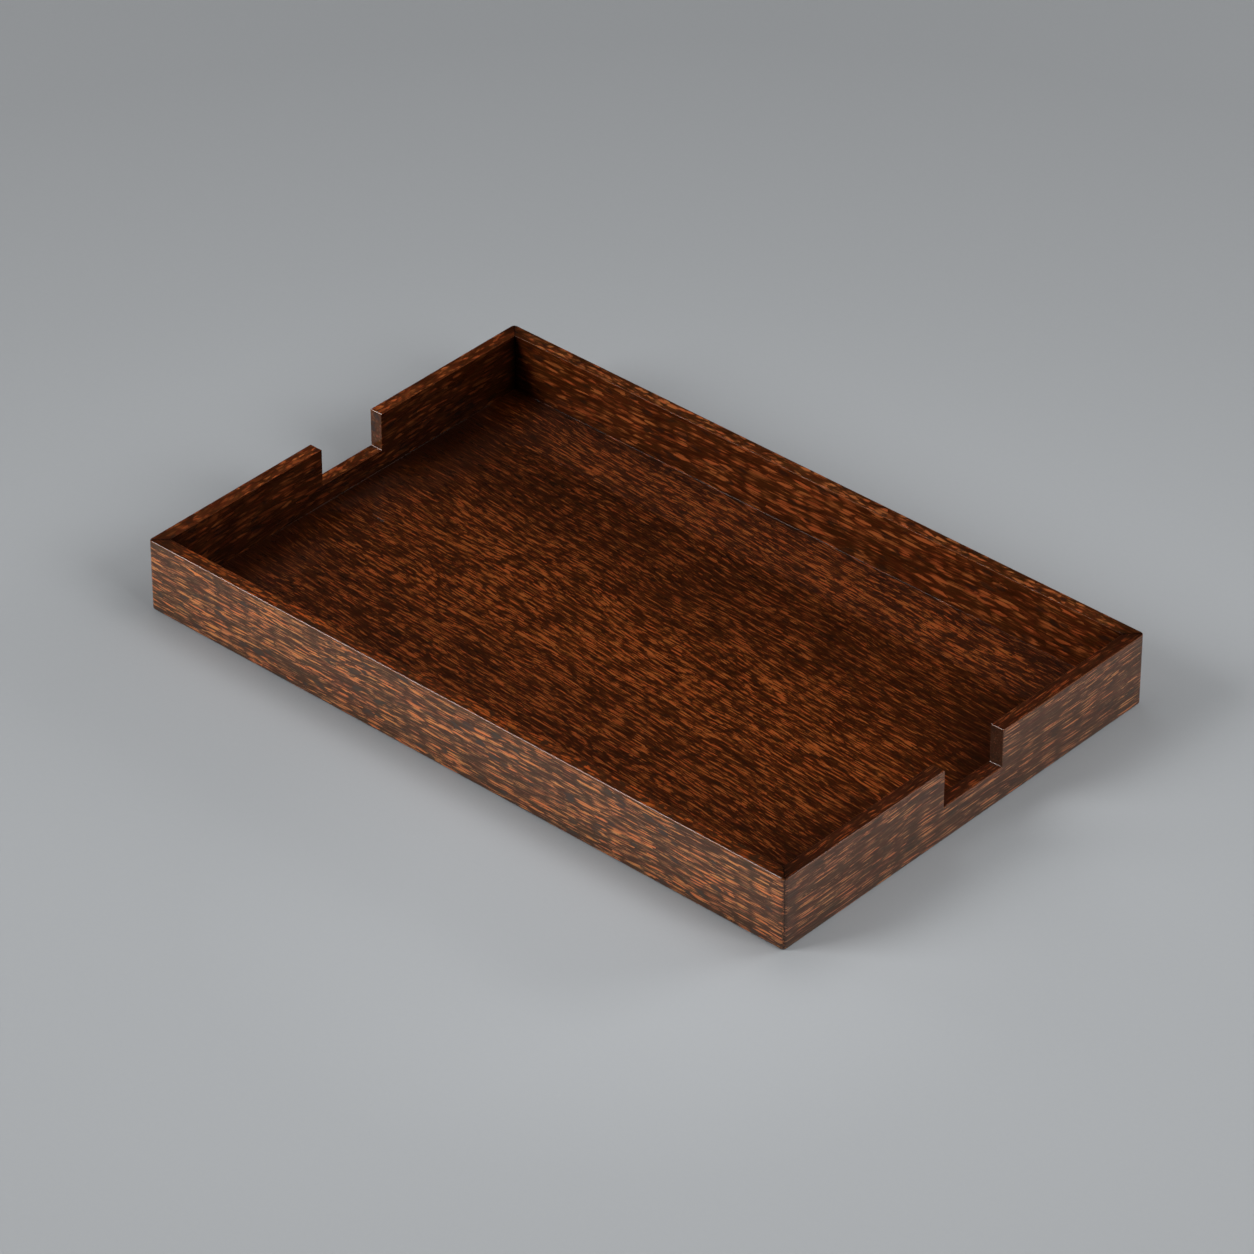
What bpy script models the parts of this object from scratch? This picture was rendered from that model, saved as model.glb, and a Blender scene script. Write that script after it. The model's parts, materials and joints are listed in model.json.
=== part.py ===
"""A palmwood serving tray, built the way its maker would cut and join it.

Four straight walls are mitred at the corners. Each mitre is glued across a blind spline.
A veneered base panel sits in a groove that runs round the inside of the walls. Each end
wall has a square notch in its rim for the fingers.

Metres, +Z up. The origin is on the surface that the tray stands on, under its middle.
+X runs along the long side and +Y towards the back wall.
"""

import math

import bmesh
import bpy
from mathutils import Vector

# Outside of the tray
TRAY_LENGTH = 0.500
TRAY_WIDTH = 0.320
TRAY_HEIGHT = 0.050
WALL_THICKNESS = 0.0095

# Wall corners and arrises
MITRE_GAP = 0.0003
CORNER_RADIUS = 0.0014
EASED_EDGE = 0.0006

# Finger notches: width along the end wall, depth below the rim, offset towards the back wall
NOTCH_WIDTH = 0.052
NOTCH_DEPTH = 0.026
NOTCH_OFFSET = 0.0045

# Groove for the base panel, and the clearance round the panel in it
GROOVE_HEIGHT = 0.0042
GROOVE_DEPTH = 0.0050
PANEL_CLEARANCE = 0.0003

# Layers of the base panel, with the glue line between each two
CORE_THICKNESS = 0.0040
VENEER_THICKNESS = 0.0007
GLUE_LINE = 0.0003

# Splines in the mitres, and the wood left above and below their slots
SPLINE_THICKNESS = 0.0024
SPLINE_WIDTH = 0.0080
SPLINE_CLEARANCE = 0.0003
WOOD_ABOVE_SPLINE = 0.0060
WOOD_BELOW_SPLINE = 0.0025

# Facets on the rounded corners and edges
CORNER_SEGMENTS = 4
EDGE_SEGMENTS = 2
SHARP_ANGLE = math.radians(35)
SQUARE_ANGLE = math.radians(60)

# Sizes that follow from those above
PANEL_THICKNESS = CORE_THICKNESS + 2 * (VENEER_THICKNESS + GLUE_LINE)
PANEL_BOTTOM = GROOVE_HEIGHT + PANEL_CLEARANCE
GROOVE_TOP = PANEL_BOTTOM + PANEL_THICKNESS + PANEL_CLEARANCE
GROOVE_LENGTH = TRAY_LENGTH - 2 * (WALL_THICKNESS - GROOVE_DEPTH)
GROOVE_WIDTH = TRAY_WIDTH - 2 * (WALL_THICKNESS - GROOVE_DEPTH)
PANEL_LENGTH = GROOVE_LENGTH - 2 * PANEL_CLEARANCE
PANEL_WIDTH = GROOVE_WIDTH - 2 * PANEL_CLEARANCE
MITRE_FACE = WALL_THICKNESS * math.sqrt(2)

# Finish of each wood: colour, roughness
PALM_WALL = ((0.135, 0.052, 0.018), 0.34)
PALM_FLOOR = ((0.092, 0.026, 0.007), 0.32)
PLYWOOD = ((0.42, 0.28, 0.16), 0.70)
HARDWOOD = ((0.50, 0.33, 0.18), 0.60)


def clear_scene():
    """Removes whatever the scene starts with."""
    for obj in list(bpy.data.objects):
        bpy.data.objects.remove(obj, do_unlink=True)


def wood(name, finish):
    """A lacquered or bare wood as one Principled material."""
    colour, roughness = finish
    material = bpy.data.materials.new(name)
    material.use_nodes = True
    shader = material.node_tree.nodes["Principled BSDF"]
    shader.inputs["Base Color"].default_value = (*colour, 1.0)
    shader.inputs["Roughness"].default_value = roughness
    shader.inputs["Metallic"].default_value = 0.0
    return material


def add_object(name, bm, parent, location, turn=0.0):
    """Makes an object of a bmesh, at its place in the tray."""
    mesh = bpy.data.meshes.new(name)
    bm.to_mesh(mesh)
    bm.free()
    obj = bpy.data.objects.new(name, mesh)
    bpy.context.collection.objects.link(obj)
    obj.parent = parent
    obj.location = location
    obj.rotation_euler.z = turn
    return obj


def finish_with(obj, material):
    """Gives an object its wood, and smooth shading between its sharp edges."""
    obj.data.materials.append(material)
    obj.data.shade_smooth()
    obj.data.set_sharp_from_angle(angle=SHARP_ANGLE)


def box_mesh(length, width, height):
    """A box centred on X and Y that stands on Z = 0."""
    bm = bmesh.new()
    bmesh.ops.create_cube(bm, size=1.0)
    bmesh.ops.scale(bm, vec=(length, width, height), verts=bm.verts)
    bmesh.ops.translate(bm, vec=(0, 0, height / 2), verts=bm.verts)
    return bm


def cutter(name, bm, parent, location, turn=0.0):
    """A wire helper that only cuts and never shows."""
    obj = add_object(name, bm, parent, location, turn)
    obj.hide_render = True
    obj.display_type = "WIRE"
    return obj


def cut(obj, tool):
    """Cuts a tool's shape out of an object."""
    boolean = obj.modifiers.new(tool.name, "BOOLEAN")
    boolean.operation = "DIFFERENCE"
    boolean.solver = "EXACT"
    boolean.object = tool


def wall_outline(length, notch_centre):
    """The wall seen from outside, as points along its length and height."""
    left, right = -length / 2, length / 2
    points = [(left, 0.0), (right, 0.0), (right, TRAY_HEIGHT)]
    if notch_centre is not None:
        near, far = notch_centre + NOTCH_WIDTH / 2, notch_centre - NOTCH_WIDTH / 2
        notch_floor = TRAY_HEIGHT - NOTCH_DEPTH
        points += [(near, TRAY_HEIGHT), (near, notch_floor)]
        points += [(far, notch_floor), (far, TRAY_HEIGHT)]
    points.append((left, TRAY_HEIGHT))
    return points


def extrude_wall(outline):
    """The outline as a plank, its outer face towards -Y."""
    bm = bmesh.new()
    corners = [bm.verts.new((along, -WALL_THICKNESS / 2, up)) for along, up in outline]
    bm.faces.new(corners)
    made = bmesh.ops.extrude_face_region(bm, geom=bm.faces[:])["geom"]
    moved = [item for item in made if isinstance(item, bmesh.types.BMVert)]
    bmesh.ops.translate(bm, vec=(0, WALL_THICKNESS, 0), verts=moved)
    bmesh.ops.recalc_face_normals(bm, faces=bm.faces[:])
    return bm


def round_corners(bm, length):
    """Rounds the two upright arrises that become corners of the tray."""

    def is_corner(edge):
        low, high = (vert.co for vert in edge.verts)
        upright = low.xy == high.xy
        return upright and low.y < 0 and abs(low.x) > length / 2 - CORNER_RADIUS

    arrises = [edge for edge in bm.edges if is_corner(edge)]
    bmesh.ops.bevel(
        bm,
        geom=arrises,
        offset=CORNER_RADIUS,
        segments=CORNER_SEGMENTS,
        profile=0.5,
        affect="EDGES",
    )


def ease_edges(bm):
    """Eases every square outside edge of the plank, those of the notch included."""
    square = [
        edge for edge in bm.edges if edge.is_convex and edge.calc_face_angle() > SQUARE_ANGLE
    ]
    bmesh.ops.bevel(
        bm,
        geom=square,
        offset=EASED_EDGE,
        segments=EDGE_SEGMENTS,
        profile=0.5,
        affect="EDGES",
    )


def mitre_end(bm, length, side):
    """Saws one end at 45 degrees, half a glue gap short of the corner's diagonal."""
    normal = Vector((side, 1.0, 0.0)).normalized()
    outer_corner = Vector((side * length / 2, -WALL_THICKNESS / 2, 0.0))
    sawn = bmesh.ops.bisect_plane(
        bm,
        geom=bm.verts[:] + bm.edges[:] + bm.faces[:],
        plane_co=outer_corner - normal * MITRE_GAP / 2,
        plane_no=normal,
        clear_outer=True,
    )["geom_cut"]
    rim = [item for item in sawn if isinstance(item, bmesh.types.BMEdge)]
    bmesh.ops.edgeloop_fill(bm, edges=rim)


def wall_mesh(length, notch_centre=None):
    """One wall, with rounded corners, eased edges and mitred ends."""
    bm = extrude_wall(wall_outline(length, notch_centre))
    round_corners(bm, length)
    ease_edges(bm)
    for side in (-1, 1):
        mitre_end(bm, length, side)
    bmesh.ops.recalc_face_normals(bm, faces=bm.faces[:])
    return bm


def make_walls(tray, material):
    """The four walls, each turned so that its outer face looks out."""
    out_x = (TRAY_LENGTH - WALL_THICKNESS) / 2
    out_y = (TRAY_WIDTH - WALL_THICKNESS) / 2
    quarter = math.pi / 2
    places = {
        "front_wall": (TRAY_LENGTH, None, (0, -out_y, 0), 0.0),
        "back_wall": (TRAY_LENGTH, None, (0, out_y, 0), 2 * quarter),
        "right_end_wall": (TRAY_WIDTH, NOTCH_OFFSET, (out_x, 0, 0), quarter),
        "left_end_wall": (TRAY_WIDTH, -NOTCH_OFFSET, (-out_x, 0, 0), -quarter),
    }
    walls = {}
    for name, (length, notch_centre, location, turn) in places.items():
        walls[name] = add_object(name, wall_mesh(length, notch_centre), tray, location, turn)
        finish_with(walls[name], material)
    return walls


def groove_walls(tray, walls):
    """Cuts the groove for the base panel round all four walls in one pass."""
    height = GROOVE_TOP - GROOVE_HEIGHT
    block = box_mesh(GROOVE_LENGTH, GROOVE_WIDTH, height)
    groove = cutter("groove_cutter", block, tray, (0, 0, GROOVE_HEIGHT))
    for wall in walls.values():
        cut(wall, groove)


def make_base_panel(tray, palm, plywood):
    """The underside veneer, the core and the floor veneer, from the bottom up."""
    layers = (
        ("underside_veneer", VENEER_THICKNESS, palm),
        ("base_core", CORE_THICKNESS, plywood),
        ("floor_veneer", VENEER_THICKNESS, palm),
    )
    height = PANEL_BOTTOM
    for name, thickness, material in layers:
        sheet = add_object(
            name, box_mesh(PANEL_LENGTH, PANEL_WIDTH, thickness), tray, (0, 0, height)
        )
        finish_with(sheet, material)
        height += thickness + GLUE_LINE


def spline_centre(side_x, side_y):
    """Where a corner's spline stands, with as much wood inside it as outside it."""
    from_inner_corner = (MITRE_FACE - SPLINE_WIDTH / 2) / 2
    step = from_inner_corner / math.sqrt(2)
    across = TRAY_LENGTH / 2 - WALL_THICKNESS + step
    deep = TRAY_WIDTH / 2 - WALL_THICKNESS + step
    return side_x * across, side_y * deep


def make_splines(tray, walls, material):
    """A blind spline in each mitre, and the slot for it in the two walls that meet there."""
    slot_bottom = GROOVE_TOP + WOOD_BELOW_SPLINE
    slot_height = TRAY_HEIGHT - WOOD_ABOVE_SPLINE - slot_bottom
    play = 2 * SPLINE_CLEARANCE
    for y_word, side_y in (("front", -1), ("back", 1)):
        for x_word, side_x in (("left", -1), ("right", 1)):
            corner = f"{y_word}_{x_word}"
            x, y = spline_centre(side_x, side_y)
            turn = -side_x * side_y * math.pi / 4
            slot = cutter(
                f"slot_cutter_{corner}",
                box_mesh(SPLINE_WIDTH + play, SPLINE_THICKNESS + play, slot_height),
                tray,
                (x, y, slot_bottom),
                turn,
            )
            cut(walls[f"{y_word}_wall"], slot)
            cut(walls[f"{x_word}_end_wall"], slot)
            spline = add_object(
                f"corner_spline_{corner}",
                box_mesh(SPLINE_WIDTH, SPLINE_THICKNESS, slot_height - play),
                tray,
                (x, y, slot_bottom + SPLINE_CLEARANCE),
                turn,
            )
            finish_with(spline, material)


def build_tray():
    """Makes the whole tray under one empty."""
    clear_scene()
    tray = bpy.data.objects.new("tray", None)
    bpy.context.collection.objects.link(tray)
    palm_floor = wood("palmwood_floor", PALM_FLOOR)
    walls = make_walls(tray, wood("palmwood_wall", PALM_WALL))
    groove_walls(tray, walls)
    make_base_panel(tray, palm_floor, wood("plywood", PLYWOOD))
    make_splines(tray, walls, wood("hardwood", HARDWOOD))


build_tray()
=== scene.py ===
"""Looks of a palmwood serving tray: four mitred walls, a veneered floor, and clear lacquer.

Metres, +Z up. +X runs along the long side and +Y towards the back wall.
"""

import json
import math
from typing import NamedTuple

import bmesh
import bpy
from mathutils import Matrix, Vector


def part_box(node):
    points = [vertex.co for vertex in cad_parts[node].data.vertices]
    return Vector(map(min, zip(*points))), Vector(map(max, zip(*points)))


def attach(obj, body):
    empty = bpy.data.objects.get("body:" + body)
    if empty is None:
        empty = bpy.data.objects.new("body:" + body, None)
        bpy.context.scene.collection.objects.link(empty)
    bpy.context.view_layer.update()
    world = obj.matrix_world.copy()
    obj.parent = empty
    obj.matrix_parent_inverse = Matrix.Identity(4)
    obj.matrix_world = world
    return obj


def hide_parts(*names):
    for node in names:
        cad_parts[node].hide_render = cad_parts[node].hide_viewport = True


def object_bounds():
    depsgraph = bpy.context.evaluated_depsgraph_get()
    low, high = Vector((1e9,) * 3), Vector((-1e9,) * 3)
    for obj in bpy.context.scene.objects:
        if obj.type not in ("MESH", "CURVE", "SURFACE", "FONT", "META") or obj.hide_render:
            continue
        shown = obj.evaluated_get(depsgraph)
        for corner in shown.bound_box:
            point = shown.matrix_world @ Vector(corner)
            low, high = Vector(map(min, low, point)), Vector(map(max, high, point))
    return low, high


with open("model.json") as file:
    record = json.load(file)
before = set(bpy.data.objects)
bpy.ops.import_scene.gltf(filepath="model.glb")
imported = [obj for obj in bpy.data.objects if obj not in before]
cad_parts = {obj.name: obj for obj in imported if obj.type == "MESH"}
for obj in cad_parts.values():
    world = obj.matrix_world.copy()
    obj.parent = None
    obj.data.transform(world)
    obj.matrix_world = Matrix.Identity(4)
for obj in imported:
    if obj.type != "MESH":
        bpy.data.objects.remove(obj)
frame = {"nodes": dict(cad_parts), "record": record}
cad_low, cad_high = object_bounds()

# The inside of the walls
inner_low = Vector((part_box("left_end_wall")[1].x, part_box("front_wall")[1].y))
inner_high = Vector((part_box("right_end_wall")[0].x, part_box("back_wall")[0].y))

MM = 0.001

# Edges of the walls, as a maker leaves them before lacquering
CORNER_RADIUS = 3.0 * MM
CORNER_SEGMENTS = 8
EASED_EDGE = 0.7 * MM
INNER_EASED_EDGE = 0.3 * MM
FOOT_EASED_EDGE = 2.0 * MM
EASED_SEGMENTS = 5
LACQUER_FILLET = 0.4 * MM
MITRE_GAP = 0.1 * MM
BEAD_SIZE = 0.3 * MM
BEAD_GAP = 0.03 * MM
BEAD_SEGMENTS = 5
BEVEL_PROFILE = 0.5
SQUARE_ANGLE = math.radians(60)
SMOOTH_ANGLE = math.radians(40)
FLAT_ANGLE = math.radians(1)
MITRE_ANGLE = math.radians(45)

# What still counts as parallel to a direction, and as lying on a line
PARALLEL = 0.99
NEAR = 0.7 * MM

# Clearances that the frame's solids and opening boxes keep
OPENING_CLEARANCE = 0.5 * MM
PANEL_CLEARANCE = 0.3 * MM
SPLINE_CLEARANCE = 0.3 * MM
SPLINE_WIDTH = 8.0 * MM
SPLINE_THICKNESS = 2.4 * MM

# Camera, fitted to the photograph's corners
CAMERA_AZIMUTH = 41.98
CAMERA_ELEVATION = 35.06
CAMERA_DISTANCE = 4.052
CAMERA_LENS = 195.4
CAMERA_SENSOR = 36.0
CAMERA_TARGET = Vector((-0.02605, 0.01615, 0.0))


def direction(azimuth, elevation):
    """Unit vector from the tray towards an azimuth and elevation in degrees. Azimuth 0 is -Y."""
    turn, rise = math.radians(azimuth), math.radians(elevation)
    level = math.cos(rise)
    return Vector((math.sin(turn) * level, -math.cos(turn) * level, math.sin(rise)))


# Modelling by hand


def deselect_all():
    """Leaves nothing selected, so that an operator acts only on what comes next."""
    bpy.ops.object.select_all(action="DESELECT")


def add_block(name, low, high, turn=0.0):
    """A box between two corners, turned about the upright through its middle, as a new piece."""
    deselect_all()
    centre = (Vector(low) + Vector(high)) / 2
    bpy.ops.mesh.primitive_cube_add(
        size=1.0, location=centre, rotation=(0, 0, turn), scale=Vector(high) - Vector(low)
    )
    block = bpy.context.object
    block.name = block.data.name = name
    bpy.ops.object.transform_apply(location=True, rotation=True, scale=True)
    return block


def pick(piece, kind, test):
    """Selects, in edit mode, just the edges or faces of a piece that pass a test."""
    bpy.ops.mesh.select_all(action="DESELECT")
    bpy.ops.mesh.select_mode(type=kind)
    shape = bmesh.from_edit_mesh(piece.data)
    items = shape.edges if kind == "EDGE" else shape.faces
    for item in [item for item in items if test(item)]:
        item.select_set(True)
    shape.select_flush_mode()
    bmesh.update_edit_mesh(piece.data)


def cut_away(piece, tool):
    """Cuts a tool's shape out of a piece and drops the tool."""
    deselect_all()
    bpy.context.view_layer.objects.active = piece
    piece.select_set(True)
    boolean = piece.modifiers.new(tool.name, "BOOLEAN")
    boolean.operation = "DIFFERENCE"
    boolean.object = tool
    bpy.ops.object.modifier_apply(modifier=boolean.name)
    bpy.data.objects.remove(tool, do_unlink=True)


def smooth(piece):
    """Smooth shading over the rounded edges, with faces that stay flat between them."""
    deselect_all()
    bpy.context.view_layer.objects.active = piece
    piece.select_set(True)
    bpy.ops.object.shade_smooth_by_angle(angle=SMOOTH_ANGLE)
    weighted = piece.modifiers.new("flat faces", "WEIGHTED_NORMAL")
    weighted.keep_sharp = True
    bpy.ops.object.modifier_apply(modifier=weighted.name)


# Walls


def opening(name):
    """Low and high corner of a stated opening, as the solids leave it."""
    stated = {item["name"]: item["box_m"] for item in frame["record"]["physics"]["openings"]}
    low, high = (Vector(corner) for corner in stated[name])
    slack = Vector((0, OPENING_CLEARANCE, OPENING_CLEARANCE))
    return low - slack, high + slack


def edge_run(edge):
    """Unit vector along an edge."""
    return (edge.verts[1].co - edge.verts[0].co).normalized()


def middle_of(edge):
    """The point halfway along an edge."""
    return (edge.verts[0].co + edge.verts[1].co) / 2


def saw_notch(wall, low, high):
    """Opens the notch: scores the wall round it, lifts the waste out and closes the cut faces."""
    for corner, normal in ((low, (0, 1, 0)), (high, (0, 1, 0)), (low, (0, 0, 1))):
        bpy.ops.mesh.select_all(action="SELECT")
        bpy.ops.mesh.bisect(plane_co=corner, plane_no=normal)

    def is_waste(face):
        middle = face.calc_center_median()
        return low.y < middle.y < high.y and middle.z > low.z

    pick(wall, "FACE", is_waste)
    bpy.ops.mesh.delete(type="FACE")
    pick(wall, "EDGE", lambda edge: edge.is_boundary and abs(edge_run(edge).x) < 1 - PARALLEL)
    bpy.ops.mesh.bridge_edge_loops()
    bpy.ops.mesh.select_all(action="SELECT")
    bpy.ops.mesh.dissolve_limited(angle_limit=FLAT_ANGLE)
    bpy.ops.mesh.normals_make_consistent(inside=False)


def round_corners(wall):
    """Rounds the upright arrises that become corners of the tray."""

    def is_corner(edge):
        middle = middle_of(edge)
        at_corner = abs(middle.x) > cad_high.x - NEAR and abs(middle.y) > cad_high.y - NEAR
        return abs(edge_run(edge).z) > PARALLEL and at_corner

    pick(wall, "EDGE", is_corner)
    bpy.ops.mesh.bevel(offset=CORNER_RADIUS, segments=CORNER_SEGMENTS, profile=BEVEL_PROFILE)


def is_square(edge):
    """Whether two faces meet in an outside corner there."""
    return edge.is_convex and edge.calc_face_angle() > SQUARE_ANGLE


def is_inner_rim(edge):
    """Whether an outside corner lies on the inner faces of the walls."""
    middle = middle_of(edge)
    inside = abs(middle.x) < inner_high.x + NEAR and abs(middle.y) < inner_high.y + NEAR
    return is_square(edge) and inside


def is_foot(edge):
    """Whether an outside corner runs along the table."""
    return is_square(edge) and middle_of(edge).z < NEAR


def is_notch_corner(edge):
    """Whether it is an inside corner across the floor of a notch."""
    hollow = not edge.is_convex and edge.calc_face_angle() > SQUARE_ANGLE
    return hollow and abs(edge_run(edge).x) > PARALLEL


def ease_edges(wall):
    """Eases the outside corners, and leaves a little lacquer in a notch's inside ones. Later tests win."""
    eased = (
        (is_square, EASED_EDGE),
        (is_foot, FOOT_EASED_EDGE),
        (is_inner_rim, INNER_EASED_EDGE),
        (is_notch_corner, LACQUER_FILLET),
    )
    largest = max(size for _, size in eased)
    for test, size in eased:
        pick(wall, "EDGE", test)
        bpy.ops.transform.edge_bevelweight(value=-1.0)
        bpy.ops.transform.edge_bevelweight(value=size / largest)
    bpy.ops.object.mode_set(mode="OBJECT")
    rounding = wall.modifiers.new("eased edges", "BEVEL")
    rounding.limit_method = "WEIGHT"
    rounding.width = largest
    rounding.segments = EASED_SEGMENTS
    rounding.use_clamp_overlap = False
    bpy.ops.object.modifier_apply(modifier=rounding.name)
    bpy.ops.object.mode_set(mode="EDIT")


def mitre(wall, side_x, side_y, waste_side):
    """Saws one end along the diagonal of a corner, half a glue gap short of it."""
    corner = Vector((side_x * cad_high.x, side_y * cad_high.y, 0))
    across = Vector((side_x, -side_y, 0)).normalized() * waste_side
    bpy.ops.mesh.select_all(action="SELECT")
    bpy.ops.mesh.bisect(
        plane_co=corner - across * MITRE_GAP / 2,
        plane_no=across,
        use_fill=True,
        clear_outer=True,
    )


def cut_joinery(wall, corners):
    """Cuts the groove for the base panel, and the slots for the splines of two corners."""
    low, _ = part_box("underside_veneer")
    _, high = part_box("floor_veneer")
    slack = Vector((PANEL_CLEARANCE,) * 3)
    cut_away(wall, add_block("groove", low - slack, high + slack))
    for corner in corners:
        low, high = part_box(corner)
        centre = (low + high) / 2
        half = Vector((SPLINE_WIDTH, SPLINE_THICKNESS, high.z - low.z)) / 2
        half += Vector((SPLINE_CLEARANCE,) * 3)
        turn = -math.copysign(MITRE_ANGLE, centre.x * centre.y)
        cut_away(wall, add_block("slot", centre - half, centre + half, turn))
    bpy.ops.object.mode_set(mode="EDIT")
    bpy.ops.mesh.select_all(action="SELECT")
    bpy.ops.mesh.fill_holes(sides=0)
    bpy.ops.mesh.normals_make_consistent(inside=False)
    bpy.ops.object.mode_set(mode="OBJECT")


def make_wall(node, outer, corners, notch=None):
    """One wall: a plank with eased edges, mitred at both ends, then grooved and slotted."""
    low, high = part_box(node)
    out = Vector(outer)
    if out.x:
        low.y, high.y = -cad_high.y, cad_high.y
    else:
        low.x, high.x = -cad_high.x, cad_high.x
    wall = add_block(node.replace("wall", "board"), low, high)
    bpy.ops.object.mode_set(mode="EDIT")
    if notch:
        saw_notch(wall, *opening(notch))
    round_corners(wall)
    ease_edges(wall)
    for side in (-1, 1):
        if out.x:
            mitre(wall, out.x, side, -1)
        else:
            mitre(wall, side, out.y, 1)
    bpy.ops.mesh.select_all(action="SELECT")
    bpy.ops.mesh.normals_make_consistent(inside=False)
    bpy.ops.object.mode_set(mode="OBJECT")
    cut_joinery(wall, corners)
    smooth(wall)
    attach(wall, "root")
    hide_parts(node)
    return wall


def make_floor():
    """The face veneer, with a small bead of lacquer where it meets the walls."""
    low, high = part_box("floor_veneer")
    floor = add_block("floor_sheet", low, high)
    bpy.ops.object.mode_set(mode="EDIT")
    pick(floor, "FACE", lambda face: face.normal.z > PARALLEL)
    bpy.ops.mesh.inset(thickness=high.x - inner_high.x + BEAD_GAP)
    bpy.ops.mesh.inset(thickness=BEAD_GAP, depth=BEAD_SIZE)
    step = math.pi / 2 / BEAD_SEGMENTS
    for i in range(BEAD_SEGMENTS):
        down = math.sin((i + 1) * step) - math.sin(i * step)
        across = math.cos(i * step) - math.cos((i + 1) * step)
        bpy.ops.mesh.inset(thickness=across * BEAD_SIZE, depth=-down * BEAD_SIZE)
    bpy.ops.mesh.select_all(action="SELECT")
    bpy.ops.mesh.normals_make_consistent(inside=False)
    bpy.ops.object.mode_set(mode="OBJECT")
    smooth(floor)
    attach(floor, "root")
    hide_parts("floor_veneer")
    return floor


# Mixing a finish

# Where a Mix node keeps its two colours and their mixture
MIX_FIRST = 6
MIX_SECOND = 7
MIX_RESULT = 2


class Wire:
    """A value in a finish. Plain + - * on it add the Math nodes."""

    def __init__(self, finish, socket):
        self.finish = finish
        self.socket = socket

    def math(self, operation, second=0.0):
        """A Math node on this value."""
        return self.finish.math(operation, self, second)

    def __add__(self, other):
        return self.math("ADD", other)

    __radd__ = __add__

    def __sub__(self, other):
        return self.math("SUBTRACT", other)

    def __rsub__(self, other):
        return self.finish.math("SUBTRACT", other, self)

    def __mul__(self, other):
        return self.math("MULTIPLY", other)

    __rmul__ = __mul__

    def __abs__(self):
        return self.math("ABSOLUTE")

    def clamped(self):
        """The value kept from 0 to 1."""
        return self.finish.node("Clamp", None, {0: self})

    def fade(self, reach):
        """1 where the value is 0, falling away over a reach."""
        return (self * (-1 / reach)).math("EXPONENT")

    def other(self, output):
        """Another output of the node that this value comes from."""
        return Wire(self.finish, self.socket.node.outputs[output])


class Finish:
    """A finish in the making: one material, its shader, and the nodes that feed it."""

    def __init__(self, name):
        self.material = bpy.data.materials.new(name)
        self.material.use_nodes = True
        self.tree = self.material.node_tree
        self.shader = self.tree.nodes["Principled BSDF"]

    def node(self, kind, settings=None, values=None, output=0):
        """Adds a node: its settings first, then the values or wires of its sockets."""
        made = self.tree.nodes.new("ShaderNode" + kind)
        for setting, value in (settings or {}).items():
            if setting == "stops":
                fill_ramp(made.color_ramp, value)
            else:
                setattr(made, setting, value)
        for socket, value in (values or {}).items():
            self.feed(made.inputs[socket], value)
        return Wire(self, made.outputs[output])

    def feed(self, socket, value):
        """Gives a socket a wire or a plain value."""
        if isinstance(value, Wire):
            self.tree.links.new(value.socket, socket)
        else:
            socket.default_value = value

    def apply(self, **values):
        """Sets the shader's own sockets. A name's underscores stand for spaces."""
        for name, value in values.items():
            self.feed(self.shader.inputs[name.replace("_", " ")], value)
        return self.material

    def math(self, operation, first, second=0.0):
        """Maths on two values."""
        return self.node("Math", {"operation": operation}, {0: first, 1: second})

    def vector(self, operation, first, second=(0, 0, 0), output=0):
        """Vector maths on places, normals and colours."""
        return self.node("VectorMath", {"operation": operation}, {0: first, 1: second}, output)

    def mix(self, factor, first, second):
        """One colour turning into another."""
        values = {0: factor, MIX_FIRST: opaque(first), MIX_SECOND: opaque(second)}
        return self.node("Mix", {"data_type": "RGBA"}, values, MIX_RESULT)

    def scaled(self, vector, factor):
        """A colour or place times one value."""
        return self.node("VectorMath", {"operation": "SCALE"}, {0: vector, "Scale": factor})

    def place(self):
        """Where the point is, in the tray's own metres."""
        return self.node("TexCoord", output="Object")

    def normal(self):
        """Which way the surface faces."""
        return self.node("TexCoord", output="Normal")

    def parts(self, vector):
        """The three numbers of a place."""
        x = self.node("SeparateXYZ", None, {0: vector})
        return x, x.other(1), x.other(2)


def opaque(colour):
    """A plain colour with its alpha, or a wire as it is."""
    return colour if isinstance(colour, Wire) else (*colour, 1.0)


def fill_ramp(ramp, stops):
    """Gives a colour ramp its stops, each a place from 0 to 1 and a colour."""
    ramp.interpolation = "LINEAR"
    while len(ramp.elements) < len(stops):
        ramp.elements.new(1.0)
    for element, (place, colour) in zip(ramp.elements, stops):
        element.position = place
        element.color = (*colour, 1.0)


def between(first, second):
    """The shade halfway between two, as the eye sees it."""
    return tuple(math.sqrt(a * b) for a, b in zip(first, second))


# Palmwood

UP = (0, 0, 1)
DOWN = (0, 0, -1)
TOWARDS_BACK = (0, 1, 0)
TOWARDS_FRONT = (0, -1, 0)
NOWHERE = (0, 0, 0)


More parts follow.
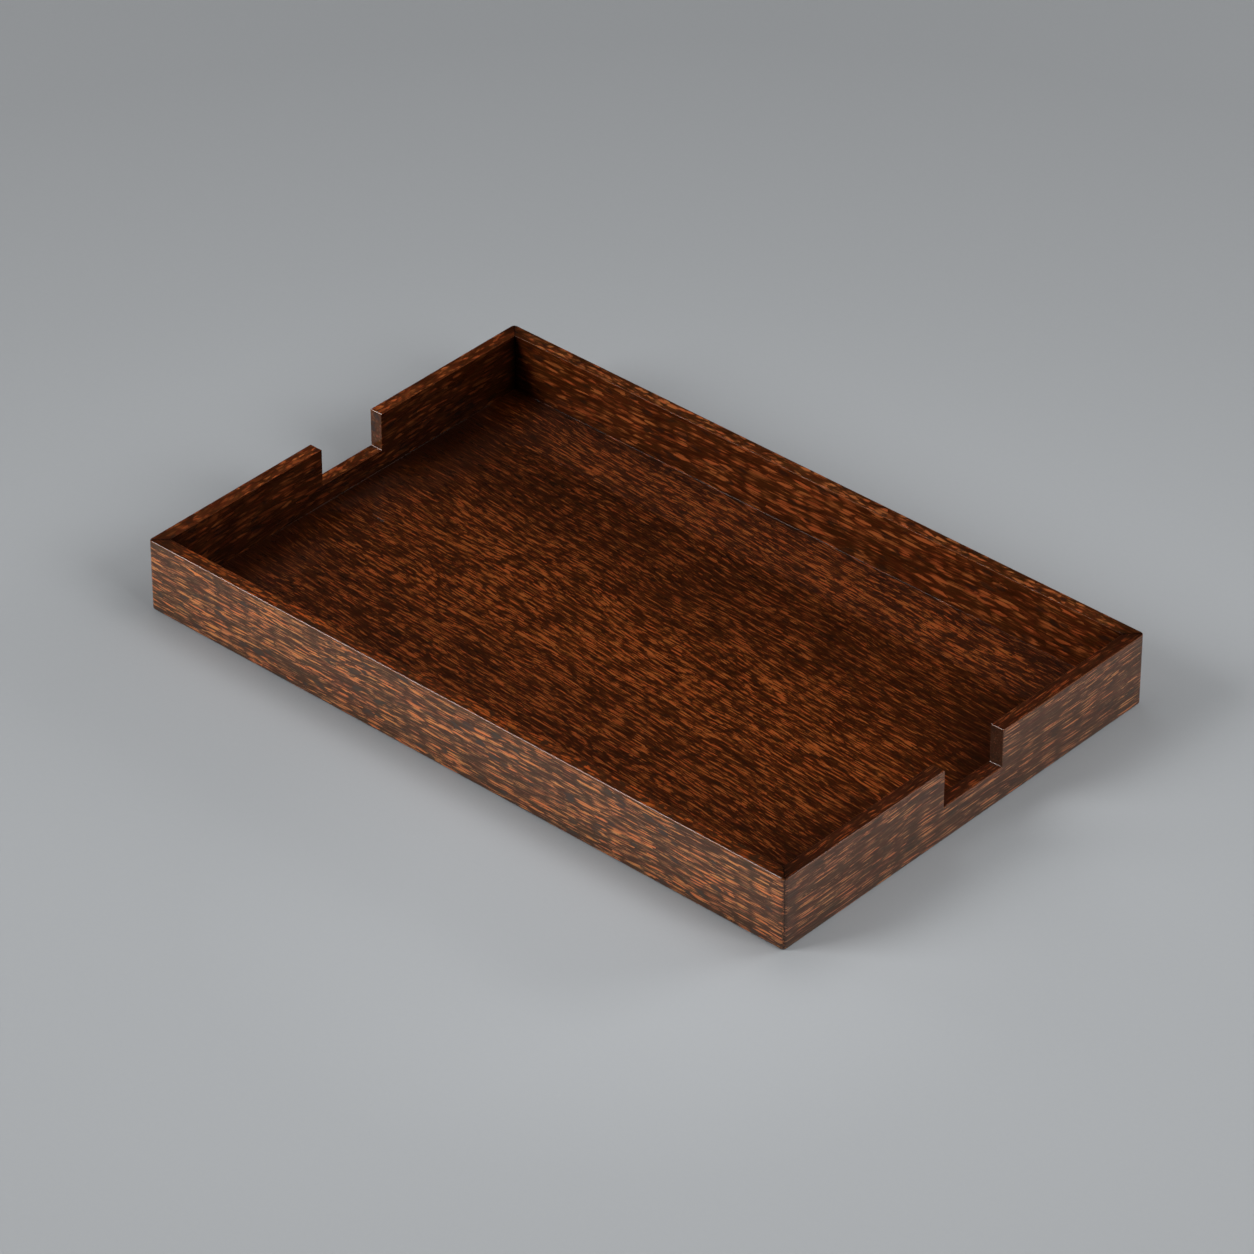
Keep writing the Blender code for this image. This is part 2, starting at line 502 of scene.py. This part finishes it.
class Grain(NamedTuple):
    """How the strands of one palmwood board run and what colours they have."""

    # Which way the board runs, and which part of the log it comes from
    along: str
    seed: float
    # Length and width of the strands, the fine needles, the soft clumps and the spots of pith
    sliver: tuple
    needle: tuple
    clump: tuple
    patch: tuple
    # How light it is between them, and how much strands, needles, clumps and fibres add
    fullness: float
    strength: tuple
    # How far the grain wanders sideways
    waviness: float
    # Shades of the matrix, of the wood as a whole, of the freshest strands and of pith
    dark: tuple
    middle: tuple
    bright: tuple
    pith: tuple
    spotted: float
    # How much lighter the eased edges are, partly wear and partly painted highlight, and how calm the
    # outer face is, up to a quiet tone
    worn: float
    calm: float
    quiet: float
    # How much of a strand stays under the matrix, and how sharply it rises from it
    gap: float
    crisp: float
    matrix_tint: tuple
    strand_tint: tuple
    # How far the grain turns from the board's length
    slant: float = 0.0
    # Tints of the notch's cheeks, painted light and shade of the rim and of the inner face, and where that
    # face looks
    end: tuple = (1.0, 1.0, 1.0)
    rim: tuple = (1.0, 1.0, 1.0)
    inner: tuple = (1.0, 1.0, 1.0)
    inward: tuple = NOWHERE


# How a board's seed moves its pattern, across the face and through the thickness
SEED_ACROSS = 0.7
SEED_THROUGH = 0.3

# How the grain wanders: length and width of a bend, and how far it goes
LONG_BEND = (110 * MM, 45 * MM)
SHORT_BEND = (22 * MM, 9 * MM)
SHORT_BEND_SHARE = 0.10
STRAND_SLIDE = (60 * MM, 3 * MM, 7 * MM)
RAGGEDNESS = (2.5 * MM, 0.5 * MM, 0.25 * MM)

# Noise: its average, and how much its finer detail counts
NOISE_MIDDLE = 0.5
NOISE_ROUGHNESS = 0.5

# How pointed strands are, how bright the faintest one is, and where needles begin to show
SPLINT_TAPER = 0.9
FAINTEST = 0.45
NEEDLE_FROM = 0.22

# How much shorter strands are where the rim cuts them, and how calm all faces are
RIM_CUT = 0.7
CALM = 0.35

# Fine fibres, and how they change the roughness and the relief
FIBRE = (9 * MM, 0.3 * MM)
FIBRE_RELIEF = 0.3
FIBRE_ROUGHNESS = 0.3
BARE_ROUGHNESS = 0.46
RELIEF_STRENGTH = 0.2
RELIEF_HEIGHT = 0.12 * MM

# Spots of pith
PITH_FROM = 0.45
PITH_EDGE = 7.0
PITH_DEPTH = 0.12

# Tints from the reddest strand to the yellowest, and of the outer faces' matrix and strands
REDDEST = (1.05, 0.86, 0.84)
YELLOWEST = (0.95, 1.13, 1.05)
GREYED = (0.96, 1.00, 1.07)
VIVID = (1.06, 0.90, 0.62)

# Lacquer, and the glints that it leaves along the bead and the inner rim
LACQUER = 0.8
THIN_LACQUER = 0.1
LACQUER_ROUGHNESS = 0.07
WOOD_SHEEN = 0.05
GLINT_REACH = 20 * MM
GLINT_FROM = 0.63
GLINT_EDGE = 8
GLINT_STRENGTH = 0.6
BEAD_SLOPE = 4
RIM_SLOPE = 2

# Dark glue lines of the mitres with painted shade beside them, and painted shade and dullness in the
# inside corners
GLUE_LINE = 0.35 * MM
GLUE_DARKNESS = 0.55
GLUE_SIDE_SHADE = 1.8 * MM
GLUE_SIDE_SHADE_DEPTH = 0.32
CORNER_SHADE_REACH = 9 * MM
CORNER_SHADE_DEPTH = 0.75
CORNER_DULLNESS = 0.6
CORNER_DULL_REACH = 28 * MM
RIM_CORNER = 0.5
END_DULLNESS = 0.5

# The foot of a wall: painted shade on its downward-facing faces, and painted shade above it
DOWNWARD_SHADE_DEPTH = 0.8
FOOT_SHADE_DEPTH = 0.35
FOOT_SHADE_REACH = 16 * MM


def board_place(finish, grain):
    """Where a point lies on its board: along the grain, across the face, through the thickness."""
    place = finish.place()
    if grain.along == "Y":
        x, y, z = finish.parts(place)
        place = finish.node("CombineXYZ", None, {0: y, 1: x, 2: z})
    if grain.slant:
        place = finish.node("VectorRotate", {"rotation_type": "Z_AXIS"}, {0: place, "Angle": grain.slant})
    cut_from = (grain.seed, SEED_ACROSS * grain.seed, SEED_THROUGH * grain.seed)
    return finish.vector("ADD", place, cut_from)


def drawn_out(finish, place, length, width):
    """A place counted in lengths along the grain and in widths across it."""
    return finish.vector("MULTIPLY", place, (1 / length, 1 / width, 1 / width))


def strands(finish, place, length, width, detail=1.0):
    """Noise drawn out along the grain."""
    stretched = drawn_out(finish, place, length, width)
    values = {"Vector": stretched, "Scale": 1.0, "Detail": detail, "Roughness": NOISE_ROUGHNESS}
    return finish.node("TexNoise", {"noise_dimensions": "3D"}, values)


def splints(finish, place, length, width):
    """Separate pointed strands: their random shades, and how high each one stands at a point."""
    stretched = drawn_out(finish, place, length, width)
    values = {"Vector": stretched, "Scale": 1.0}
    cells = finish.node("TexVoronoi", {"voronoi_dimensions": "3D"}, values, "Color")
    shade = finish.node("SeparateColor", None, {0: cells})
    return shade, shade - cells.other("Distance") * SPLINT_TAPER


def glue_line_and_shade(finish):
    """How dark the glue lines of the mitres are, with painted shade on the wood beside them."""
    x, y, _ = finish.parts(finish.place())
    from_line = abs((cad_high.x - abs(x)) - (cad_high.y - abs(y)))
    # A dark glue line, and painted shade where the rounded corner turns from the light.
    return from_line.fade(GLUE_LINE) * GLUE_DARKNESS + from_line.fade(GLUE_SIDE_SHADE) * GLUE_SIDE_SHADE_DEPTH


def inner_corner(finish, reach):
    """1 at the upright inside corners of the tray, fading out along the walls."""
    x, y, _ = finish.parts(finish.place())
    from_corner = (inner_high.x - abs(x)).math("MAXIMUM", inner_high.y - abs(y))
    return from_corner.clamped().fade(reach)


def sway(finish, place, length, width, reach):
    """Lets the grain wander sideways by up to a reach."""
    drift = (strands(finish, place, length, width) - NOISE_MIDDLE) * (2 * reach)
    shift = finish.node("CombineXYZ", None, {1: drift, 2: drift})
    return finish.vector("ADD", place, shift)


def stagger(finish, place, length, width, reach):
    """Slides neighbouring strands past each other, by up to a reach."""
    slide = (strands(finish, place, length, width) - NOISE_MIDDLE) * (2 * reach)
    return finish.vector("ADD", place, finish.node("CombineXYZ", None, {0: slide}))


def facing(finish, towards):
    """1 where the surface faces a direction, and 0 where it faces away or lies across it."""
    lean = finish.vector("DOT_PRODUCT", finish.normal(), towards, "Value").clamped()
    return lean * lean


def arris(finish):
    """1 along the middle of an eased edge, and 0 on the flat faces."""
    normal = finish.normal()
    squares = finish.vector("MULTIPLY", normal, normal)
    return (1 - finish.vector("DOT_PRODUCT", squares, squares, "Value")) * 2


def gloss(finish, inward):
    """How much lacquer there is: patchy on the bead and on the inner edge of the rim, full elsewhere."""
    glints = strands(finish, finish.place(), GLINT_REACH, GLINT_REACH)
    glints = ((glints - GLINT_FROM) * GLINT_EDGE).clamped()
    lean = finish.vector("DOT_PRODUCT", finish.normal(), UP, "Value")
    if inward == NOWHERE:
        edge = ((1 - lean * lean) * BEAD_SLOPE).clamped()
    else:
        inside = finish.vector("DOT_PRODUCT", finish.normal(), inward, "Value").clamped()
        edge = inside * lean.clamped() * RIM_SLOPE
    return 1 - edge * (1 - glints * GLINT_STRENGTH)


def even_shade(finish, grain):
    """The same light and liveliness all over."""
    return 1.0, 0.0


def palm_finish(name, grain, shade=even_shade, lacquer=LACQUER):
    """Dark palm matrix with short orange strands, under a clear coat."""
    finish = Finish(name)
    light, dullness = shade(finish, grain)
    outward = tuple(-part for part in grain.inward)
    place = board_place(finish, grain)
    if grain.inward != NOWHERE:
        cut_short = 1 + facing(finish, UP) * RIM_CUT
        shortening = finish.node("CombineXYZ", None, {0: cut_short, 1: 1.0, 2: 1.0})
        place = finish.vector("MULTIPLY", place, shortening)

    # How the grain runs, and what lies along it
    bent = sway(finish, place, *LONG_BEND, grain.waviness)
    bent = sway(finish, bent, *SHORT_BEND, SHORT_BEND_SHARE * grain.waviness)
    bent = stagger(finish, bent, *STRAND_SLIDE)
    ragged = sway(finish, bent, *RAGGEDNESS)
    sliver_shade, slivers = splints(finish, ragged, *grain.sliver)
    freshness = sliver_shade.other("Green") * (1 - FAINTEST) + FAINTEST
    slivers = ((slivers - grain.gap) * grain.crisp).clamped() * freshness
    _, needles = splints(finish, ragged, *grain.needle)
    _, spots = splints(finish, ragged, *grain.patch)
    clumps = strands(finish, bent, *grain.clump) - NOISE_MIDDLE
    fibres = strands(finish, bent, *FIBRE)
    fibre_swing = fibres - NOISE_MIDDLE
    pith = ((spots - PITH_FROM) * PITH_EDGE).clamped()

    # How light it is there
    sliver_strength, needle_strength, clump_strength, fibre_strength = grain.strength
    tone = slivers * sliver_strength + clumps * clump_strength + fibre_swing * fibre_strength
    calm = facing(finish, outward) * (grain.calm - CALM) + CALM
    tone = tone - tone.math("MINIMUM", grain.quiet) * calm
    tone = (tone + ((needles - NEEDLE_FROM) * needle_strength).clamped()) * (1 - dullness)
    # Eased edges are lighter: partly wear, partly a painted highlight along the arris.
    tone = tone + grain.fullness - pith * PITH_DEPTH + arris(finish) * fibres * grain.worn
    shades = (
        grain.dark,
        between(grain.dark, grain.middle),
        grain.middle,
        between(grain.middle, grain.bright),
        grain.bright,
    )
    stops = tuple((i / (len(shades) - 1), shades[i]) for i in range(len(shades)))
    colour = finish.node("ValToRGB", {"stops": stops}, {0: tone})
    body = finish.mix(pith * grain.spotted, colour, grain.pith)

    # Tints of strand and matrix, of a notch's end grain, and painted light and shade on the rim and the
    # inner face
    tint = finish.mix(sliver_shade.other("Blue"), REDDEST, YELLOWEST)
    tint = finish.vector("MULTIPLY", tint, finish.mix(slivers, grain.matrix_tint, grain.strand_tint))
    # Painted light and shade: the rim and the inner face get their own tint for how they are lit.
    faces = [(grain.rim, UP), (grain.inner, grain.inward)]
    if grain.along == "Y":
        faces += [(grain.end, TOWARDS_BACK), (grain.end, TOWARDS_FRONT)]
    for change, towards in faces:
        tint = finish.mix(facing(finish, towards), tint, finish.vector("MULTIPLY", tint, change))
    tint = finish.scaled(tint, light)

    height = slivers + fibres * FIBRE_RELIEF
    bump = {"Strength": RELIEF_STRENGTH, "Distance": RELIEF_HEIGHT, "Height": height}
    return finish.apply(
        Base_Color=finish.vector("MULTIPLY", body, tint),
        Roughness=BARE_ROUGHNESS + fibre_swing * FIBRE_ROUGHNESS,
        Specular_IOR_Level=WOOD_SHEEN,
        Normal=finish.node("Bump", None, bump),
        Coat_Weight=gloss(finish, grain.inward) * lacquer,
        Coat_Roughness=LACQUER_ROUGHNESS,
    )


FRONT_GRAIN = Grain(
    along="X",
    seed=3.1,
    sliver=(12 * MM, 1.0 * MM),
    needle=(11 * MM, 0.45 * MM),
    clump=(26 * MM, 4.5 * MM),
    patch=(10 * MM, 4.6 * MM),
    fullness=0.290,
    strength=(0.86, 1.0, 0.45, 0.38),
    waviness=5 * MM,
    dark=(0.048, 0.018, 0.006),
    middle=(0.168, 0.065, 0.028),
    bright=(0.82, 0.300, 0.120),
    pith=(0.082, 0.048, 0.032),
    spotted=0.9,
    worn=0.15,
    calm=0.45,
    quiet=0.15,
    gap=0.02,
    crisp=2.6,
    matrix_tint=GREYED,
    strand_tint=VIVID,
    # Painted light and shade: rim and inner face tinted darker and redder than the lit outer face.
    rim=(0.40, 0.25, 0.14),
    inner=(0.40, 0.25, 0.14),
    inward=(0, 1, 0),
)
RIGHT_GRAIN = FRONT_GRAIN._replace(
    along="Y",
    seed=7.7,
    sliver=(18 * MM, 0.75 * MM),
    needle=(16 * MM, 0.42 * MM),
    clump=(45 * MM, 10 * MM),
    fullness=0.335,
    strength=(1.10, 0.8, 0.75, 0.30),
    spotted=0.5,
    calm=0.70,
    quiet=0.20,
    gap=0.27,
    crisp=3.2,
    dark=(0.030, 0.011, 0.004),
    middle=(0.116, 0.047, 0.023),
    bright=(0.50, 0.190, 0.085),
    pith=(0.066, 0.034, 0.020),
    strand_tint=(1.01, 0.94, 0.80),
    end=(0.73, 0.70, 0.80),
    worn=0.4,
    # Painted light and shade: rim and inner face tinted darker and redder than the lit outer face.
    rim=(0.44, 0.26, 0.17),
    inner=(0.44, 0.26, 0.17),
    inward=(-1, 0, 0),
)
BACK_GRAIN = FRONT_GRAIN._replace(
    seed=1.9,
    sliver=(12 * MM, 1.9 * MM),
    needle=(12 * MM, 0.6 * MM),
    clump=(30 * MM, 7 * MM),
    fullness=0.315,
    strength=(0.80, 0.9, 0.75, 0.35),
    crisp=2.2,
    dark=(0.019, 0.0039, 0.0004),
    middle=(0.094, 0.0205, 0.0048),
    bright=(0.42, 0.102, 0.026),
    pith=(0.030, 0.011, 0.006),
    spotted=0.6,
    worn=0.3,
    calm=0.35,
    matrix_tint=(0.98, 1.0, 0.95),
    strand_tint=(1.02, 0.98, 0.95),
    # Painted light and shade: the rim greyer and the inner face lighter, for how they are lit.
    rim=(0.85, 1.0, 1.20),
    inner=(1.11, 1.15, 1.24),
    inward=(0, -1, 0),
)
LEFT_GRAIN = BACK_GRAIN._replace(
    along="Y",
    seed=5.3,
    sliver=(10 * MM, 1.8 * MM),
    needle=(11 * MM, 0.5 * MM),
    patch=(10 * MM, 6 * MM),
    clump=(24 * MM, 10 * MM),
    strength=(0.62, 0.5, 0.95, 0.20),
    # Painted shade: the inner face is darkened as if it stood in shade.
    rim=(0.98, 0.98, 1.00),
    inner=(0.35, 0.36, 0.42),
    end=(1.7, 2.6, 4.5),
    inward=(1, 0, 0),
)
FLOOR_GRAIN = Grain(
    along="X",
    seed=9.4,
    sliver=(9.5 * MM, 0.8 * MM),
    needle=(10 * MM, 0.42 * MM),
    clump=(24 * MM, 6 * MM),
    patch=(6.5 * MM, 4 * MM),
    fullness=0.295,
    strength=(1.00, 1.2, 0.80, 0.50),
    waviness=6 * MM,
    dark=(0.0165, 0.0031, 0.0002),
    middle=(0.068, 0.0145, 0.0029),
    bright=(0.36, 0.084, 0.0175),
    pith=(0.028, 0.0085, 0.0030),
    spotted=0.45,
    worn=0.0,
    calm=0.35,
    quiet=0.15,
    gap=0.02,
    crisp=2.6,
    matrix_tint=(1.0, 1.0, 0.75),
    strand_tint=(1.0, 0.98, 1.05),
    slant=math.radians(4),
)
UNDERSIDE_GRAIN = FLOOR_GRAIN._replace(seed=6.2)

# The floor's broad bands: how far from the back wall, as a share of the depth, and how light
FLOOR_BANDS = (
    (0.00, 0.70),
    (0.03, 0.94),
    (0.10, 0.90),
    (0.16, 0.62),
    (0.24, 0.55),
    (0.33, 0.62),
    (0.42, 0.85),
    (0.58, 1.00),
    (0.70, 0.79),
    (1.00, 0.70),
)
BAND_LIGHT = 0.90
BAND_SHARE = 0.5
BAND_DULLNESS = 0.7
BAND_BEND = (160 * MM, 90 * MM)
BAND_WANDER = 40 * MM

# The floor's painted shade towards the left, and painted shade beside the end walls
LEFT_SHADE_DEPTH = 0.25
LEFT_SHADE_REACH = 200 * MM
END_SHADE_DEPTH = 0.20
END_SHADE_REACH = 18 * MM
END_SHADE_DULLNESS = 0.7
DULL_REACH = 28 * MM


def wall_shade(finish, grain):
    """Painted shade at a board's foot and on its downward faces, a dark glue line with painted shade
    beside it, and painted shade in the inside corners, where strands fade too.
    """
    _, _, z = finish.parts(finish.place())
    # Painted shade: darker towards the table.
    foot_shade = z.clamped().fade(FOOT_SHADE_REACH) * FOOT_SHADE_DEPTH
    here = facing(finish, grain.inward) + facing(finish, UP) * RIM_CORNER
    # Painted shade in the inside corners, on the inner faces and the rim.
    corner_shade = inner_corner(finish, CORNER_SHADE_REACH) * here * CORNER_SHADE_DEPTH
    # Painted shade on the faces that look down.
    downward_shade = facing(finish, DOWN) * DOWNWARD_SHADE_DEPTH
    light = (1 - foot_shade) * (1 - corner_shade) * (1 - glue_line_and_shade(finish)) * (1 - downward_shade)
    # The strands fade and darken there with the painted corner shade.
    dullness = inner_corner(finish, CORNER_DULL_REACH) * here * CORNER_DULLNESS
    if grain.along == "Y":
        cheeks = facing(finish, TOWARDS_BACK) + facing(finish, TOWARDS_FRONT)
        dullness = dullness + cheeks * END_DULLNESS
    return light, dullness


def floor_shade(finish, grain):
    """Broad bands across the floor, painted shade towards the left, and painted shade beside the end
    walls.
    """
    place = finish.place()
    x, y, _ = finish.parts(place)
    drift = (strands(finish, place, *BAND_BEND) - NOISE_MIDDLE) * BAND_WANDER
    across = (inner_high.y - y + drift) * (1 / (inner_high.y - inner_low.y))
    stops = tuple((at, (light,) * 3) for at, light in FLOOR_BANDS)
    bands = finish.node("ValToRGB", {"stops": stops}, {0: across})
    bands = finish.node("SeparateColor", None, {0: bands})
    from_end = inner_high.x - abs(x)
    left_shade = (x + inner_high.x).fade(LEFT_SHADE_REACH) * LEFT_SHADE_DEPTH
    # Painted shade: darker towards the left wall and beside both end walls.
    kept = (1 - left_shade) * (1 - from_end.fade(END_SHADE_REACH) * END_SHADE_DEPTH)
    light = (bands * BAND_SHARE + (1 - BAND_SHARE)) * kept * BAND_LIGHT
    dullness = from_end.fade(DULL_REACH) * END_SHADE_DULLNESS + (1 - bands) * BAND_DULLNESS
    return light, dullness.clamped()


# Hidden pieces

# Plywood: two plies' thickness, its figure and flecks, and how much each of the three shows
PLY_PAIR = 2 * MM
PLY_FIGURE = (60 * MM, 4 * MM, 3.0)
PLY_FLECK = (3 * MM, 0.5 * MM)
PLY_SHARES = (0.18, 0.7, 0.3)
PLYWOOD_STOPS = ((0.2, (0.30, 0.17, 0.08)), (0.5, (0.52, 0.36, 0.20)), (0.8, (0.66, 0.50, 0.32)))
PLY_RELIEF = {"Strength": 0.3, "Distance": 0.1 * MM}
PLY_ROUGHNESS = 0.55

# Hardwood: its rings and pores, and how much each shows
RINGS = (40 * MM, 1.2 * MM, 3.0)
PORES = (2 * MM, 0.15 * MM)
PORE_SHARE = 0.2
HARDWOOD_STOPS = ((0.25, (0.05, 0.02, 0.01)), (0.5, (0.12, 0.05, 0.025)), (0.75, (0.22, 0.10, 0.05)))
PORE_RELIEF = {"Strength": 0.3, "Distance": 0.08 * MM}
HARDWOOD_ROUGHNESS = 0.5

# How much a figure changes the roughness of either
ROUGHNESS_SWING = 0.2


def plywood_finish():
    """Thin birch plies: pale faces and edges that change colour from ply to ply."""
    finish = Finish("birch_plywood")
    place = finish.place()
    _, _, z = finish.parts(place)
    figure = strands(finish, place, *PLY_FIGURE)
    fleck = strands(finish, place, *PLY_FLECK)
    ply = (z * (math.tau / PLY_PAIR)).math("SINE")
    ply_share, figure_share, fleck_share = PLY_SHARES
    tone = figure * figure_share + (fleck - NOISE_MIDDLE) * fleck_share + ply * ply_share
    colour = finish.node("ValToRGB", {"stops": PLYWOOD_STOPS}, {0: tone})
    relief = finish.node("Bump", None, {**PLY_RELIEF, "Height": fleck})
    roughness = PLY_ROUGHNESS + figure * ROUGHNESS_SWING
    return finish.apply(Base_Color=colour, Roughness=roughness, Normal=relief)


def hardwood_finish():
    """Straight-grained dark hardwood for the splines across the mitres."""
    finish = Finish("spline_hardwood")
    x, y, z = finish.parts(finish.place())
    upright = finish.node("CombineXYZ", None, {0: z, 1: y, 2: x})
    rings = strands(finish, upright, *RINGS)
    pores = strands(finish, upright, *PORES)
    tone = rings * (1 - PORE_SHARE) + pores * PORE_SHARE
    colour = finish.node("ValToRGB", {"stops": HARDWOOD_STOPS}, {0: tone})
    relief = finish.node("Bump", None, {**PORE_RELIEF, "Height": pores})
    roughness = HARDWOOD_ROUGHNESS + pores * ROUGHNESS_SWING
    return finish.apply(Base_Color=colour, Roughness=roughness, Normal=relief)


def finish_node(node, material):
    """Gives a carried-over solid its finish."""
    for slot in frame["nodes"][node].material_slots:
        slot.material = material


# Stage: table, lamps and camera

TABLE_SIZE = 12.0
# Middle and reach of the table's painted pool of light
TABLE_MIDDLE = (0.15, -0.18, 0.0)
TABLE_REACH = 1.2
TABLE_GREY = (0.40, 0.415, 0.43)
TABLE_ROUGHNESS = 0.9
TABLE_FLECK = 3 * MM
FLECK_DEPTH = 0.02

# The table's painted pool of light: how far from its middle, as a share of its reach, and how light; then
# the painted contact shadow round the tray
TABLE_LIGHT_POOL = ((0.0, 1.19), (0.10, 1.17), (0.21, 1.06), (0.42, 0.98), (0.58, 0.89), (0.80, 0.80))
CONTACT_SHADOW_DEPTH = 0.18
CONTACT_SHADOW_REACH = 24 * MM

# Lamps: name, azimuth, elevation, size and power. Edge lamps show in the lacquer alone.
LAMP_DISTANCE = 3.0
SOFTBOXES = (
    ("key", -35, 32, 1.4, 60.0),
    ("right", 90, 35, 1.4, 38.0),
    ("back_right", 150, 12, 1.4, 48.0),
    ("left", -80, 14, 1.4, 16.0),
    ("back", -180, 12, 1.4, 12.0),
    ("high_right", 120, 60, 1.4, 13.0),
    ("high_left", -120, 60, 1.4, 10.0),
)
EDGE_LAMPS = (
    ("front_edge", -79, 56, 0.95, 78.0),
    ("right_edge", 143.5, 50, 0.6, 15.0),
)


def table_finish():
    """Matt grey with a painted pool of light, lightest in front of the tray, and a painted shadow round
    its foot.
    """
    finish = Finish("table_grey")
    place = finish.place()
    away = finish.vector("DISTANCE", place, TABLE_MIDDLE, "Value") * (1 / TABLE_REACH)
    stops = tuple((at, tuple(light * part for part in TABLE_GREY)) for at, light in TABLE_LIGHT_POOL)
    # Painted pool of light on the table.
    grey = finish.node("ValToRGB", {"stops": stops}, {0: away})
    half = (cad_high.x, cad_high.y, 1.0)
    beyond = finish.vector("SUBTRACT", finish.vector("ABSOLUTE", place), half)
    from_tray = finish.vector("LENGTH", finish.vector("MAXIMUM", beyond), output="Value")
    fleck = strands(finish, place, TABLE_FLECK, TABLE_FLECK) * FLECK_DEPTH
    fleck = fleck + (1 - FLECK_DEPTH * NOISE_MIDDLE)
    # Painted contact shadow round the tray.
    kept = (1 - from_tray.fade(CONTACT_SHADOW_REACH) * CONTACT_SHADOW_DEPTH) * fleck
    colour = finish.scaled(grey, kept)
    return finish.apply(Base_Color=colour, Roughness=TABLE_ROUGHNESS, Specular_IOR_Level=0.0)


def make_table():
    """The pale surface that the tray stands on."""
    deselect_all()
    bpy.ops.mesh.primitive_plane_add(size=TABLE_SIZE, location=(0, 0, 0))
    table = bpy.context.object
    table.name = "table"
    table.data.materials.append(table_finish())


def set_up(name, data, target, back, distance):
    """Puts a lamp or a camera at a distance from a target, looking at it."""
    holder = bpy.data.objects.new(name, data)
    bpy.context.scene.collection.objects.link(holder)
    holder.location = target + back * distance
    holder.rotation_mode = "QUATERNION"
    holder.rotation_quaternion = (-back).to_track_quat("-Z", "Y")
    return holder


def add_softbox(name, azimuth, elevation, size, power, mirrored=False):
    """A square soft lamp that looks at the tray. It lights the wood, or it only shows in the lacquer."""
    lamp = bpy.data.lights.new(name, "AREA")
    lamp.shape = "SQUARE"
    lamp.size = size
    lamp.energy = power
    holder = set_up(name, lamp, Vector((0, 0, 0)), direction(azimuth, elevation), LAMP_DISTANCE)
    holder.visible_glossy = mirrored
    holder.visible_diffuse = not mirrored


def make_camera():
    """The camera at the photograph's viewing angle."""
    lens = bpy.data.cameras.new("camera")
    lens.lens = CAMERA_LENS
    lens.sensor_width = CAMERA_SENSOR
    back = direction(CAMERA_AZIMUTH, CAMERA_ELEVATION)
    camera = set_up("camera", lens, CAMERA_TARGET, back, CAMERA_DISTANCE)
    bpy.context.scene.camera = camera


def darken_room():
    """Leaves the lamps as the only light."""
    room = bpy.data.worlds.new("room")
    room.use_nodes = True
    room.node_tree.nodes["Background"].inputs["Strength"].default_value = 0.0
    bpy.context.scene.world = room


def build_walls():
    """The four walls and their wood."""
    plans = (
        ("front_wall", (0, -1, 0), ("left", "right"), None, FRONT_GRAIN),
        ("back_wall", (0, 1, 0), ("left", "right"), None, BACK_GRAIN),
        ("left_end_wall", (-1, 0, 0), ("front", "back"), "left_finger_notch", LEFT_GRAIN),
        ("right_end_wall", (1, 0, 0), ("front", "back"), "right_finger_notch", RIGHT_GRAIN),
    )
    for node, outer, ends, notch, grain in plans:
        side = node.split("_")[0]
        if notch:
            corners = [f"corner_spline_{end}_{side}" for end in ends]
        else:
            corners = [f"corner_spline_{side}_{end}" for end in ends]
        wall = make_wall(node, outer, corners, notch)
        wall.data.materials.append(palm_finish(side + "_palm", grain, wall_shade))


def build_base():
    """The floor sheet, and the finishes of what lies under it and inside the corners."""
    make_floor().data.materials.append(palm_finish("floor_palm", FLOOR_GRAIN, floor_shade))
    sealed = palm_finish("underside_palm", UNDERSIDE_GRAIN, lacquer=THIN_LACQUER)
    finish_node("underside_veneer", sealed)
    finish_node("base_core", plywood_finish())
    hardwood = hardwood_finish()
    for node in frame["nodes"]:
        if node.startswith("corner_spline"):
            finish_node(node, hardwood)


make_camera()
build_walls()
build_base()
make_table()
for box in SOFTBOXES:
    add_softbox(*box)
for box in EDGE_LAMPS:
    add_softbox(*box, mirrored=True)
darken_room()
bpy.context.scene.view_settings.view_transform = "Standard"
